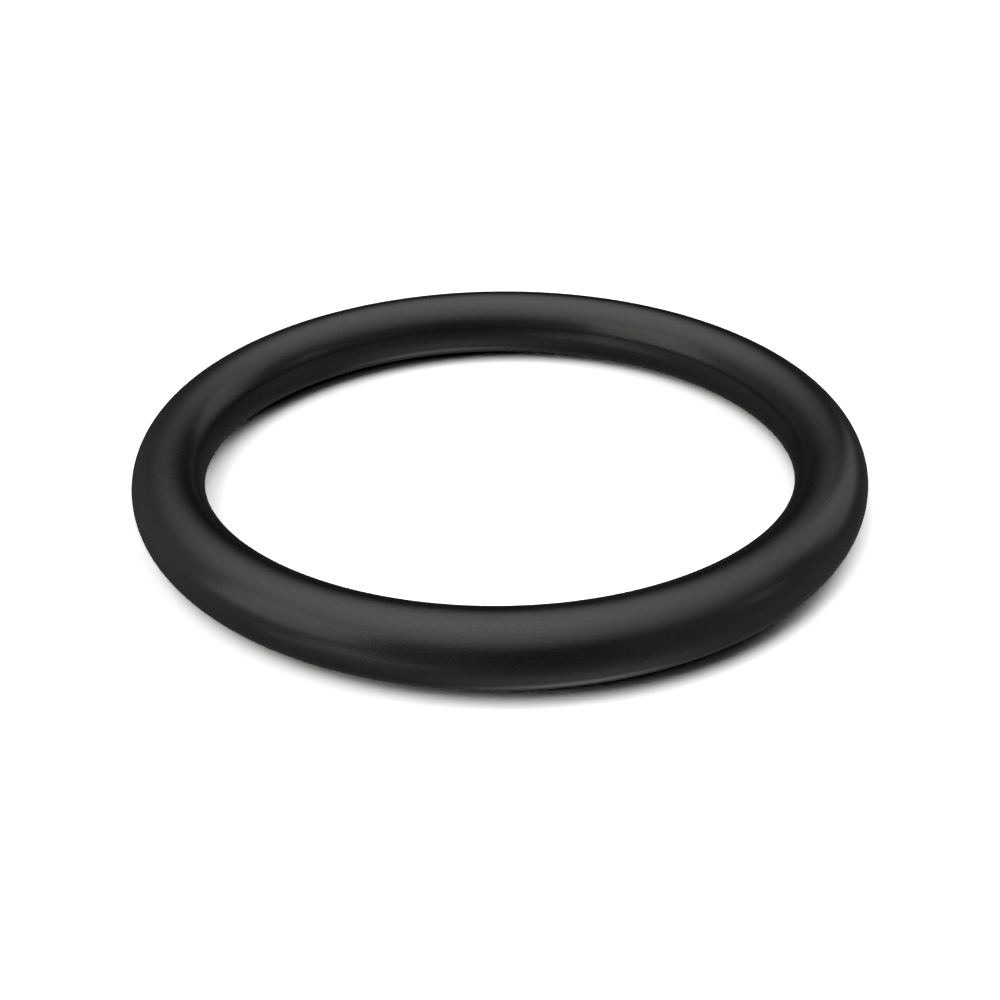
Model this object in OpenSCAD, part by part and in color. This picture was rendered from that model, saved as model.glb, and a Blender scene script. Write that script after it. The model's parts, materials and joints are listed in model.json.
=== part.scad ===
// Rubber o-ring: one closed ring of round section, moulded between two mould halves.
// The halves meet on the ring's mid plane. Trimming off the thin flash there leaves
// a narrow flat land all round the bore, and another all round the rim.
// The origin is the middle of the ring, and Z is the axis that the ring closes round.

/* [Ring] */
// Inside diameter, measured across the bore from land to land
inner_d = 25; // [4:0.1:120]
// Diameter of the round section
section_d = 3; // [1:0.1:6]

/* [Parting line] */
// Width of the land that the trimmed flash leaves
land_w = 0.24; // [0.1:0.02:0.6]

/* [Finish] */
// Colour of the rubber
rubber_colour = "black"; // [black:Black, saddlebrown:Brown, firebrick:Red, darkgreen:Green]
// Sides drawn on a full circle
smoothness = 180; // [60:12:360]

/* [Hidden] */

// Radius of the section
section_r = section_d / 2;
// Distance from the middle of the section to either land
land_reach = sqrt(section_r ^ 2 - (land_w / 2) ^ 2);
// Radius of the circle that the middle of the section follows
centre_r = inner_d / 2 + land_reach;

// The section: a circle whose bore side and rim side are trimmed flat at the parting line
module section() {
    intersection() {
        circle(r = section_r, $fn = smoothness);
        square([2 * land_reach, section_d], center = true);
    }
}

// The ring: its section turned once round the axis, as the mould cavity is
module o_ring() {
    color(rubber_colour)
        rotate_extrude($fn = smoothness)
            translate([centre_r, 0])
                section();
}

o_ring();
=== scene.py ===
"""A rubber o-ring on a pale studio floor: the moulded ring, its satin black skin, and the light it lies in.

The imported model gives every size. The ring is made again here with a finer surface, in metres and in the same
frame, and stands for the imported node. The studio is a pale floor, soft lamps that light it and the ring, and a
room of glows and bright panels that only the ring's gloss shows.
"""

import json
import logging
import math
from dataclasses import dataclass
from enum import Enum
from typing import Any

import bmesh
import bpy
from mathutils import Matrix, Vector


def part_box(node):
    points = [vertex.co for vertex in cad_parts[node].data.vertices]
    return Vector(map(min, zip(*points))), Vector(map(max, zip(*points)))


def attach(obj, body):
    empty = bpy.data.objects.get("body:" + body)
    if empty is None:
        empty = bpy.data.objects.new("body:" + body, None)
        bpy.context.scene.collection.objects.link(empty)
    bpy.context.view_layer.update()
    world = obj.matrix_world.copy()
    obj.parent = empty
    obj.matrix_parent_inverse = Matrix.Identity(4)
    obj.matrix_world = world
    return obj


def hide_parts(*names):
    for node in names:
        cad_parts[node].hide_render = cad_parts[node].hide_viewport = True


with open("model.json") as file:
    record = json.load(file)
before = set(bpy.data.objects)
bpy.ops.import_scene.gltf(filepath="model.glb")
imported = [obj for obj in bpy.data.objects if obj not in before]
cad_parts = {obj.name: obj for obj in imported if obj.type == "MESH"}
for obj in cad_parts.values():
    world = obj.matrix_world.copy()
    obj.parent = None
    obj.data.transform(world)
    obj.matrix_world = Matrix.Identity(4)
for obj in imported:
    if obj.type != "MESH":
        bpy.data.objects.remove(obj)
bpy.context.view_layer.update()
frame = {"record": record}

log = logging.getLogger("o_ring_scene")

MILLIMETRE = 0.001

Colour = tuple[float, float, float]


class Tint(Enum):
    """The colours that the studio's lights come in."""

    PLAIN = (1.0, 1.0, 1.0)
    WARM = (1.0, 0.965, 0.86)
    COOL = (0.92, 0.92, 1.0)
    CREAM = (1.0, 0.995, 0.945)


class InputKind(Enum):
    """The kinds of named input that a geometry tree takes."""

    LENGTH = "NodeSocketFloat"
    COUNT = "NodeSocketInt"
    FINISH = "NodeSocketMaterial"


class Number:
    """A number that a node gives. An expression on it adds the Math nodes that work the expression out."""

    def __init__(self, maker: "NodeMaker", socket: bpy.types.NodeSocket) -> None:
        """Hold the socket, and the maker of the tree that it is in."""
        self.maker = maker
        self.socket = socket

    def __add__(self, other: "Number | float") -> "Number":
        """Add a value."""
        return self.maker.math("ADD", self, other)

    def __radd__(self, other: float) -> "Number":
        """Add this to a plain value."""
        return self.maker.math("ADD", other, self)

    def __sub__(self, other: "Number | float") -> "Number":
        """Take a value away."""
        return self.maker.math("SUBTRACT", self, other)

    def __rsub__(self, other: float) -> "Number":
        """Take this away from a plain value."""
        return self.maker.math("SUBTRACT", other, self)

    def __mul__(self, other: "Number | float") -> "Number":
        """Multiply by a value."""
        return self.maker.math("MULTIPLY", self, other)

    def __truediv__(self, other: "Number | float") -> "Number":
        """Divide by a value."""
        return self.maker.math("DIVIDE", self, other)

    def rises(self, start: float, end: float) -> "Number":
        """Turn this into a smooth step.

        Args:
            start: Where the step begins, with the value 0.
            end: Where the step ends, with the value 1.

        Returns:
            The step's value, from 0 to 1.
        """
        levels = {"Value": self, "From Min": start, "From Max": end}
        node = self.maker.add("ShaderNodeMapRange", {"interpolation_type": "SMOOTHSTEP"}, levels)
        return self.maker.number(node, "Result")


class NodeMaker:
    """Adds nodes and their links to one shader tree or geometry tree."""

    def __init__(self, tree: bpy.types.NodeTree) -> None:
        """Hold the tree, and empty it of what it started with."""
        self.tree = tree
        tree.nodes.clear()

    @staticmethod
    def find(sockets: Any, key: str | int) -> bpy.types.NodeSocket:
        """Find one of a node's sockets.

        Args:
            sockets: The node's inputs or outputs.
            key: The socket's place in the row, its identifier or its name.

        Returns:
            The first socket that fits.
        """
        if isinstance(key, int):
            return sockets[key]
        return next(socket for socket in sockets if key in (socket.identifier, socket.name))

    def add(
        self, kind: str, settings: dict[str, Any] | None = None, inputs: dict[Any, Any] | None = None
    ) -> bpy.types.Node:
        """Add one node.

        Args:
            kind: The node's type.
            settings: The node's own settings, which are set first.
            inputs: What goes into its sockets: plain values, numbers, or other nodes' outputs.

        Returns:
            The new node.
        """
        node = self.tree.nodes.new(kind)
        for name, value in (settings or {}).items():
            setattr(node, name, value)
        for key, value in (inputs or {}).items():
            socket = self.find(node.inputs, key)
            source = value.socket if isinstance(value, Number) else value
            if isinstance(source, bpy.types.NodeSocket):
                self.tree.links.new(source, socket)
            else:
                socket.default_value = source
        return node

    def output(self, node: bpy.types.Node, key: str | int = 0) -> bpy.types.NodeSocket:
        """Return one of a node's outputs, for a link."""
        return self.find(node.outputs, key)

    def number(self, node: bpy.types.Node, key: str | int = 0) -> Number:
        """Return one of a node's outputs, for an expression."""
        return Number(self, self.output(node, key))

    def math(self, operation: str, *terms: Number | float) -> Number:
        """Add one Math node.

        Args:
            operation: What the node works out.
            *terms: Its inputs, in order.

        Returns:
            The node's result.
        """
        return self.number(self.add("ShaderNodeMath", {"operation": operation}, dict(enumerate(terms))))

    def vector_math(self, operation: str, inputs: dict[Any, Any]) -> bpy.types.Node:
        """Add one Vector Math node, which gives its result as a vector or as a value."""
        return self.add("ShaderNodeVectorMath", {"operation": operation}, inputs)


@dataclass(frozen=True)
class MouldedRubber:
    """Satin rubber, near black all through, with the very fine and even grain of a mould's skin.

    Sizes are in metres. The mottle is where the black filler is mixed a little less evenly. The grain is the
    mould's own. Where the two together rise from black_low to black_high, the black goes from deep to pale. A
    thin bloom of wax lies on the skin, duller and paler than it, and thicker in some spots of the grain than in
    others.
    """

    deep_black: Colour = (0.0014, 0.0014, 0.0014)
    pale_black: Colour = (0.0052, 0.0052, 0.0052)
    black_low: float = 0.35
    black_high: float = 0.65
    satin: float = 0.17
    bloom_satin: float = 0.29
    bloom_gloss: float = 0.8
    bloom_share: float = 0.25
    bloom_swing: float = 0.7
    mottle_size: float = 2.4 * MILLIMETRE
    mottle_layers: float = 3.0
    mottle_gloss: float = 0.01
    grain_size: float = 0.06 * MILLIMETRE
    grain_layers: float = 1.0
    grain_gloss: float = 0.02
    grain_height: float = 0.0035 * MILLIMETRE
    refraction: float = 1.5

    def clouds(self, maker: NodeMaker, place: bpy.types.NodeSocket, size: float, layers: float) -> Number:
        """Add a cloudy pattern.

        Args:
            maker: The material's node maker.
            place: The coordinates that the pattern lies in.
            size: How large its clouds are.
            layers: How many finer layers it has.

        Returns:
            The pattern, which is about 0.5 on average.
        """
        inputs = {"Vector": place, "Scale": 1.0 / size, "Detail": layers}
        return maker.number(maker.add("ShaderNodeTexNoise", {}, inputs), "Fac")

    def build(self) -> bpy.types.Material:
        """Build the material.

        Returns:
            The finished material, which reads the ring's own coordinates.
        """
        material = bpy.data.materials.new("moulded_rubber")
        material.use_nodes = True
        maker = NodeMaker(material.node_tree)
        place = maker.output(maker.add("ShaderNodeTexCoord"), "Object")
        mottle = self.clouds(maker, place, self.mottle_size, self.mottle_layers)
        grain = self.clouds(maker, place, self.grain_size, self.grain_layers)

        blacks = {
            "Factor_Float": ((mottle + grain) * 0.5).rises(self.black_low, self.black_high),
            "A_Color": (*self.deep_black, 1.0),
            "B_Color": (*self.pale_black, 1.0),
        }
        black = maker.output(maker.add("ShaderNodeMix", {"data_type": "RGBA"}, blacks), "Result_Color")
        bump = maker.add("ShaderNodeBump", {}, {"Distance": self.grain_height, "Height": grain})
        unevenness = (mottle - 0.5) * self.mottle_gloss + (grain - 0.5) * self.grain_gloss
        skin = {"Base Color": black, "IOR": self.refraction, "Normal": maker.output(bump)}
        clean = maker.add("ShaderNodeBsdfPrincipled", {}, {**skin, "Roughness": unevenness + self.satin})
        dull = {"Roughness": unevenness + self.bloom_satin, "Specular IOR Level": self.bloom_gloss}
        bloom = maker.add("ShaderNodeBsdfPrincipled", {}, {**skin, **dull})
        share = (grain - 0.5) * self.bloom_swing + self.bloom_share
        skins = {0: share, 1: maker.output(clean), 2: maker.output(bloom)}
        surface = maker.add("ShaderNodeMixShader", {}, skins)
        maker.add("ShaderNodeOutputMaterial", {}, {"Surface": maker.output(surface)})
        return material


@dataclass(frozen=True)
class SealRing:
    """The o-ring: a round section, swept round the Z axis, with a narrow land round the bore and the rim.

    The lands are what is left where the mould's two halves met and the flash was trimmed. Sizes are in metres.
    """

    bore_radius: float
    rim_radius: float
    thickness: float
    steps_round: int = 640
    steps_in_section: int = 142

    @classmethod
    def from_frame(cls) -> "SealRing":
        """Take the ring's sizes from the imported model.

        Returns:
            The ring, with the radii of its bore and rim mounts and the height of its node.
        """
        radii = {mount["name"]: mount["dims"].get("r_mm") for mount in frame["record"]["mounts"]}
        low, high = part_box("o_ring")
        return cls(radii["bore"] * MILLIMETRE, radii["rim"] * MILLIMETRE, high.z - low.z)

    def section(self, maker: NodeMaker, sizes: dict[str, Number]) -> bpy.types.NodeSocket:
        """Add the outline of the round section, with its two flat lands.

        The points of a closed curve are placed by their number. The first half lie on the upper arc and the
        rest on the lower one, and each arc stops where the lands begin.

        Args:
            maker: The geometry tree's node maker.
            sizes: The tree's named inputs.

        Returns:
            The outline, as a closed curve.
        """
        radius = sizes["Thickness"] / 2.0
        reach = (sizes["Rim radius"] - sizes["Bore radius"]) / 2.0
        land_angle = maker.math("ARCCOSINE", reach / radius)

        index = maker.number(maker.add("GeometryNodeInputIndex"))
        half = sizes["Steps in section"] / 2.0
        arc = maker.math("FLOOR", index / half)
        along = (index - arc * half) / (half - 1.0)
        angle = land_angle + along * (math.pi - land_angle * 2.0) + arc * math.pi
        place = {"X": radius * maker.math("COSINE", angle), "Y": radius * maker.math("SINE", angle)}

        circle = maker.add("GeometryNodeCurvePrimitiveCircle", {}, {"Resolution": sizes["Steps in section"]})
        points = {
            "Geometry": maker.output(circle),
            "Position": maker.output(maker.add("ShaderNodeCombineXYZ", {}, place)),
        }
        return maker.output(maker.add("GeometryNodeSetPosition", {}, points))

    def build_tree(self, values: dict[str, tuple[InputKind, Any]]) -> bpy.types.NodeTree:
        """Build the tree that sweeps the section round the ring.

        Args:
            values: The name of each input, with its kind and its value.

        Returns:
            The geometry tree.
        """
        tree = bpy.data.node_groups.new("seal_ring_sweep", "GeometryNodeTree")
        tree.interface.new_socket(name="Ring", in_out="OUTPUT", socket_type="NodeSocketGeometry")
        for name, (kind, _) in values.items():
            tree.interface.new_socket(name=name, in_out="INPUT", socket_type=kind.value)
        maker = NodeMaker(tree)
        group = maker.add("NodeGroupInput")
        sizes = {name: maker.number(group, name) for name in values}

        centre_radius = (sizes["Rim radius"] + sizes["Bore radius"]) / 2.0
        path = {"Resolution": sizes["Steps round"], "Radius": centre_radius}
        circle = maker.add("GeometryNodeCurvePrimitiveCircle", {}, path)
        sweep = {"Curve": maker.output(circle), "Profile Curve": self.section(maker, sizes)}
        skin = maker.output(maker.add("GeometryNodeCurveToMesh", {}, sweep))
        smooth = maker.output(maker.add("GeometryNodeSetShadeSmooth", {}, {"Geometry": skin}))
        real = maker.output(maker.add("GeometryNodeRealizeInstances", {}, {"Geometry": smooth}))
        dressed = maker.add("GeometryNodeSetMaterial", {}, {"Geometry": real, "Material": sizes["Rubber"]})
        maker.add("NodeGroupOutput", {}, {"Ring": maker.output(dressed)})
        return tree

    def build(self, rubber: bpy.types.Material) -> bpy.types.Object:
        """Build the ring as a plain mesh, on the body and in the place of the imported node.

        Args:
            rubber: The ring's finish.

        Returns:
            The finished piece.
        """
        values = {
            "Bore radius": (InputKind.LENGTH, self.bore_radius),
            "Rim radius": (InputKind.LENGTH, self.rim_radius),
            "Thickness": (InputKind.LENGTH, self.thickness),
            "Steps round": (InputKind.COUNT, self.steps_round),
            "Steps in section": (InputKind.COUNT, self.steps_in_section),
            "Rubber": (InputKind.FINISH, rubber),
        }
        tree = self.build_tree(values)
        piece = bpy.data.objects.new("seal_ring", bpy.data.meshes.new("seal_ring"))
        bpy.context.scene.collection.objects.link(piece)
        modifier = piece.modifiers.new("sweep", "NODES")
        modifier.node_group = tree
        for item in tree.interface.items_tree:
            if item.name in values:
                modifier[item.identifier] = values[item.name][1]

        graph = bpy.context.evaluated_depsgraph_get()
        mesh = bpy.data.meshes.new_from_object(piece.evaluated_get(graph), depsgraph=graph)
        piece.modifiers.remove(modifier)
        piece.data = mesh
        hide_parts("o_ring")
        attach(piece, "root")
        return piece


def towards(azimuth: float, elevation: float) -> Vector:
    """Work out a direction in the studio.

    Args:
        azimuth: The angle round the ring, in degrees. 0 is behind it and 90 is to its right.
        elevation: The angle above the floor, in degrees.

    Returns:
        The direction, with a length of 1.
    """
    level = math.cos(math.radians(elevation))
    sideways, back = math.sin(math.radians(azimuth)), math.cos(math.radians(azimuth))
    return Vector((sideways * level, back * level, math.sin(math.radians(elevation))))


@dataclass(frozen=True)
class Glow:
    """A round soft light that the ring mirrors, with no edge. Angles are in degrees.

    It is even out to the angle full from its middle, and has faded out at the angle reach.
    """

    azimuth: float
    elevation: float
    full: float
    reach: float
    strength: float
    tint: Tint = Tint.PLAIN

    def mask(self, maker: NodeMaker, direction: bpy.types.NodeSocket) -> Number:
        """Add the glow's share of light in a direction.

        Args:
            maker: The world's node maker.
            direction: Where the light is looked for.

        Returns:
            The share, from 0 to 1.
        """
        dot = maker.vector_math("DOT_PRODUCT", {0: direction, 1: towards(self.azimuth, self.elevation)})
        angle = maker.math("ARCCOSINE", maker.number(dot, "Value"))
        return 1.0 - angle.rises(math.radians(self.full), math.radians(self.reach))


@dataclass(frozen=True)
class Window:
    """A bright panel with four soft edges that the ring mirrors. Angles are in degrees.

    Its sides stand at the azimuths left and right, and its foot and top lie at the elevations sill and head.
    Each edge fades over the angle edge on both sides of its line.
    """

    left: float
    right: float
    sill: float
    head: float
    edge: float
    strength: float
    tint: Tint = Tint.PLAIN

    def mask(self, maker: NodeMaker, direction: bpy.types.NodeSocket) -> Number:
        """Add the panel's share of light in a direction.

        Args:
            maker: The world's node maker.
            direction: Where the light is looked for.

        Returns:
            The share, from 0 to 1.
        """
        parts = maker.add("ShaderNodeSeparateXYZ", {}, {"Vector": direction})
        azimuth = maker.math("ARCTAN2", maker.number(parts, "X"), maker.number(parts, "Y"))
        elevation = maker.math("ARCSINE", maker.number(parts, "Z"))
        inside = [
            self.step(azimuth, self.left),
            1.0 - self.step(azimuth, self.right),
            self.step(elevation, self.sill),
            1.0 - self.step(elevation, self.head),
        ]
        return inside[0] * inside[1] * inside[2] * inside[3]

    def step(self, angle: Number, middle: float) -> Number:
        """Return the soft step of one of the panel's edges."""
        return angle.rises(math.radians(middle - self.edge), math.radians(middle + self.edge))


@dataclass(frozen=True)
class Lamp:
    """A soft lamp far from the ring, which lights it and the floor and isn't mirrored. Angles are in degrees."""

    name: str
    azimuth: float
    elevation: float
    spread: float
    share: float
    tint: Tint = Tint.PLAIN

    def build(self) -> bpy.types.Object:
        """Build the lamp, so bright that it gives its share of a level at which a white floor is white.

        Returns:
            The lamp.
        """
        data = bpy.data.lights.new(self.name, "SUN")
        data.energy = self.share * math.pi / math.sin(math.radians(self.elevation))
        data.angle = math.radians(self.spread)
        data.color = self.tint.value
        lamp = bpy.data.objects.new(self.name, data)
        bpy.context.scene.collection.objects.link(lamp)
        lamp.matrix_world = towards(self.azimuth, self.elevation).to_track_quat("Z", "Y").to_matrix().to_4x4()
        lamp.visible_glossy = False
        return lamp


@dataclass(frozen=True)
class Studio:
    """The pale room that the ring is seen in: what the ring mirrors of it, its lamps and its floor.

    The floor's radius is in metres. Its colour is floor_grey, to which floor_lift is added for the camera alone.
    """

    lights: tuple[Glow | Window, ...]
    lamps: tuple[Lamp, ...]
    floor_radius: float = 1.0
    floor_sides: int = 96
    floor_grey: float = 0.86
    floor_lift: float = 0.76

    def build_world(self) -> bpy.types.World:
        """Build what the ring mirrors, with plain white wherever the camera sees past the floor.

        It gives the ring its gloss and no other light, which comes from the lamps.

        Returns:
            The world.
        """
        world = bpy.data.worlds.new("studio")
        world.use_nodes = True
        maker = NodeMaker(world.node_tree)
        direction = maker.output(maker.add("ShaderNodeTexCoord"), "Generated")
        total = None
        for light in self.lights:
            colour = tuple(part * light.strength for part in light.tint.value)
            lit = maker.output(maker.vector_math("SCALE", {0: colour, "Scale": light.mask(maker, direction)}))
            total = lit if total is None else maker.output(maker.vector_math("ADD", {0: total, 1: lit}))
        path = maker.add("ShaderNodeLightPath")
        # The gloss must not throw the mirrored lights on to the floor, where the contact shadow is.
        straight = maker.math("MAXIMUM", 1.0 - maker.number(path, "Diffuse Depth"), 0.0)
        lights = maker.add("ShaderNodeBackground", {}, {"Color": total, "Strength": straight})
        white = maker.add("ShaderNodeBackground", {}, {"Color": (1.0, 1.0, 1.0, 1.0)})
        sides = {0: maker.output(path, "Is Camera Ray"), 1: maker.output(lights), 2: maker.output(white)}
        surface = maker.add("ShaderNodeMixShader", {}, sides)
        maker.add("ShaderNodeOutputWorld", {}, {"Surface": maker.output(surface)})
        world.cycles_visibility.diffuse = False
        bpy.context.scene.world = world
        return world

    def build_lamps(self) -> list[bpy.types.Object]:
        """Build the lamps and return them."""
        return [lamp.build() for lamp in self.lamps]

    def floor_finish(self) -> bpy.types.Material:
        """Build the floor's finish, an even pale grey that the camera sees as white.

        Returns:
            The material.
        """
        material = bpy.data.materials.new("studio_floor")
        material.use_nodes = True
        maker = NodeMaker(material.node_tree)
        seen = maker.number(maker.add("ShaderNodeLightPath"), "Is Camera Ray")
        shader = maker.add("ShaderNodeBsdfDiffuse", {}, {"Color": seen * self.floor_lift + self.floor_grey})
        maker.add("ShaderNodeOutputMaterial", {}, {"Surface": maker.output(shader)})
        return material

    def build_floor(self, height: float) -> bpy.types.Object:
        """Build the floor, which the ring doesn't mirror.

        Args:
            height: Where its surface is.

        Returns:
            The floor.
        """
        mesh = bpy.data.meshes.new("floor")
        shape = bmesh.new()
        place = Matrix.Translation((0.0, 0.0, height))
        sides, radius = self.floor_sides, self.floor_radius
        bmesh.ops.create_circle(shape, cap_ends=True, segments=sides, radius=radius, matrix=place)
        shape.to_mesh(mesh)
        shape.free()
        mesh.materials.append(self.floor_finish())
        floor = bpy.data.objects.new("floor", mesh)
        bpy.context.scene.collection.objects.link(floor)
        floor.visible_glossy = False
        floor.visible_shadow = False
        return floor


@dataclass(frozen=True)
class PhotoCamera:
    """The camera in front of the ring, aimed near its middle.

    Distances are in metres, angles in degrees, and the lens and the sensor in millimetres.
    """

    distance: float = 68.62 * MILLIMETRE
    elevation: float = 29.044
    tilt: float = -1.578
    roll: float = -0.543
    lens: float = 57.57
    sensor: float = 36.0
    nearest: float = 1.0 * MILLIMETRE
    farthest: float = 10.0

    def build(self) -> bpy.types.Object:
        """Build the camera and make it the scene's own.

        Returns:
            The camera.
        """
        data = bpy.data.cameras.new("photo_camera")
        data.sensor_width = self.sensor
        data.lens = self.lens
        data.clip_start = self.nearest
        data.clip_end = self.farthest
        camera = bpy.data.objects.new("photo_camera", data)
        bpy.context.scene.collection.objects.link(camera)
        height = math.radians(self.elevation)
        place = Vector((0.0, -math.cos(height), math.sin(height))) * self.distance
        pitch = math.radians(90.0 - self.elevation + self.tilt)
        turn = Matrix.Rotation(pitch, 4, "X") @ Matrix.Rotation(math.radians(self.roll), 4, "Z")
        camera.matrix_world = Matrix.Translation(place) @ turn
        bpy.context.scene.camera = camera
        return camera


# A least-squares fit to the tones that the photo shows on the ring made these numbers.
# Only the last row was changed afterwards.
STUDIO_LIGHTS: tuple[Glow | Window, ...] = (
    Glow(azimuth=115, elevation=88, full=35, reach=70, strength=0.56),
    Glow(azimuth=-5, elevation=82, full=0, reach=70, strength=1.0),
    Glow(azimuth=-100, elevation=32, full=0, reach=100, strength=0.38),
    Glow(azimuth=101, elevation=14, full=1, reach=11, strength=0.44),
    Glow(azimuth=115, elevation=-8, full=20, reach=65, strength=0.14),
    Glow(azimuth=-155, elevation=-37, full=0, reach=55, strength=0.2),
    Glow(azimuth=145, elevation=-63, full=0, reach=40, strength=0.34),
    Glow(azimuth=38, elevation=-76, full=1, reach=17, strength=0.62),
    Glow(azimuth=160, elevation=-19, full=80, reach=170, strength=0.1),
    Glow(azimuth=-135, elevation=-14, full=0, reach=18, strength=0.5),
    Window(left=-140, right=-91, sill=4, head=42, edge=8, strength=0.84, tint=Tint.WARM),
    Window(left=32, right=69, sill=8, head=37, edge=8, strength=0.58, tint=Tint.COOL),
    Window(left=-163, right=-110, sill=-29, head=-26, edge=8, strength=0.8),
)

# These began as a fit to the photo's shadow, and were then rounded and changed.
STUDIO_LAMPS: tuple[Lamp, ...] = (
    Lamp("lamp_high_left", azimuth=-116, elevation=65, spread=43, share=0.41),
    Lamp("lamp_high_right", azimuth=56, elevation=72, spread=34, share=0.25),
    Lamp("lamp_low_left", azimuth=-96, elevation=22, spread=44, share=0.17, tint=Tint.CREAM),
    Lamp("lamp_low_back", azimuth=39, elevation=17, spread=34, share=0.2),
    Lamp("lamp_front", azimuth=172, elevation=63, spread=46, share=0.028),
)


def main() -> None:
    """Build the ring, the studio and the camera, in that order, and log the studio's parts and the camera."""
    logging.basicConfig(level=logging.INFO, format="%(name)s: %(message)s")
    ring = SealRing.from_frame()
    piece = ring.build(MouldedRubber().build())

    studio = Studio(STUDIO_LIGHTS, STUDIO_LAMPS)
    world = studio.build_world()
    log.info("%s: %d lights to mirror", world.name, len(studio.lights))
    for lamp in studio.build_lamps():
        log.info("%s: strength %.2f", lamp.name, lamp.data.energy)
    floor = studio.build_floor(-ring.thickness / 2.0)
    log.info("%s: at %.2f mm", floor.name, floor.data.vertices[0].co.z / MILLIMETRE)

    camera = PhotoCamera().build()
    log.info("%s: %.1f mm from the ring", camera.name, camera.location.length / MILLIMETRE)

    bpy.context.scene.view_settings.view_transform = "Standard"


if __name__ == "__main__":
    main()
